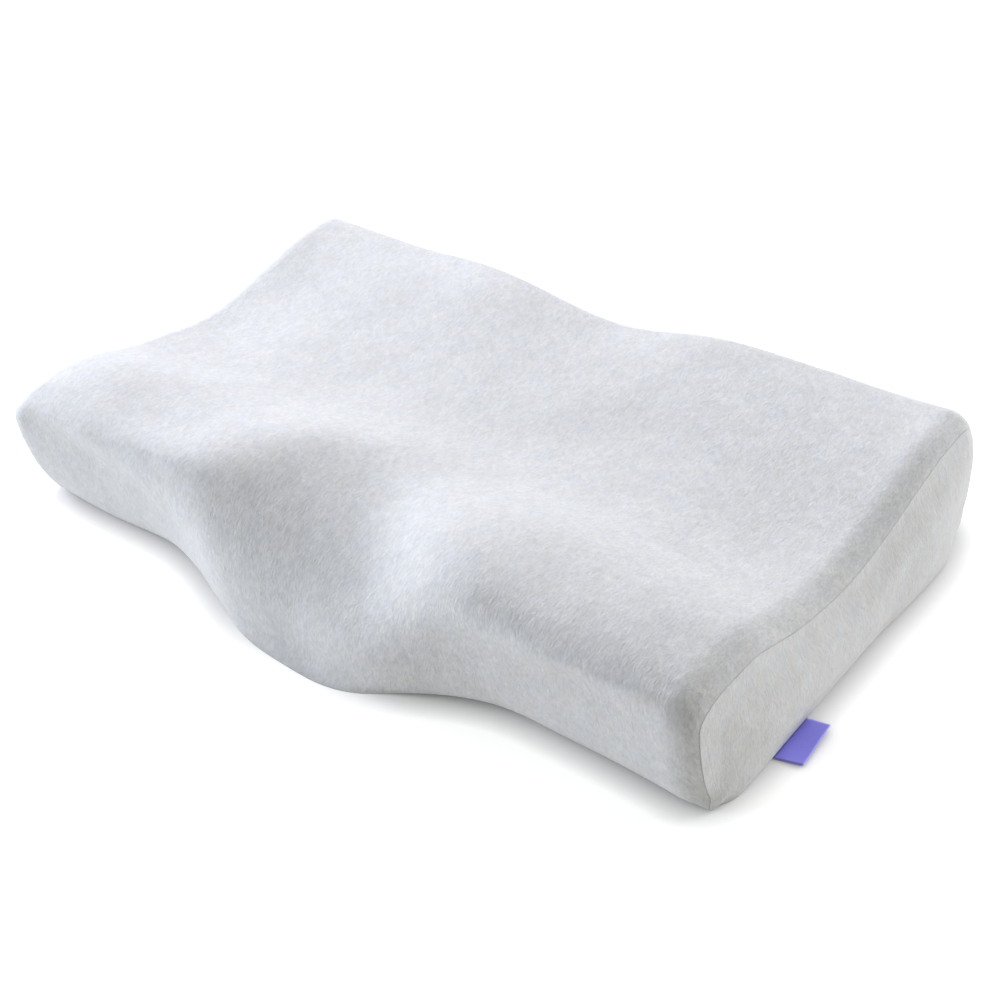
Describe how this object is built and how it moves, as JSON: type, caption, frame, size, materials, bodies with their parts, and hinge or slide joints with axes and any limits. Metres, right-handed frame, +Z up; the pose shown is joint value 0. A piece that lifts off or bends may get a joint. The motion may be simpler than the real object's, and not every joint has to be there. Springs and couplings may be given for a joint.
{
  "type": "cervical pillow",
  "caption": "Contoured neck pillow in a knit cover: raised back lobe, cross trough, two front lobes with a hollow between, flat base and sewn end panels.",
  "frame": {"origin": "on the flat base, in the middle of the length, under the trough", "axes": "+X along the pillow towards the end with the tab, -Y towards the front (neck) edge, +Y towards the back edge, +Z up"},
  "size_m": [0.6777, 0.4099, 0.1121],
  "materials": {
    "cover_knit": "light heathered grey brushed knit, matte",
    "cover_knit_end": "light heathered grey brushed knit, matte",
    "tab_ribbon": "bright violet-blue woven ribbon, faint sheen"
  },
  "bodies": {
    "root": {"pillow_body": "cover_knit", "end_panel_right": "cover_knit_end", "end_panel_left": "cover_knit_end", "label_tab": "tab_ribbon"}
  },
  "joints": []
}
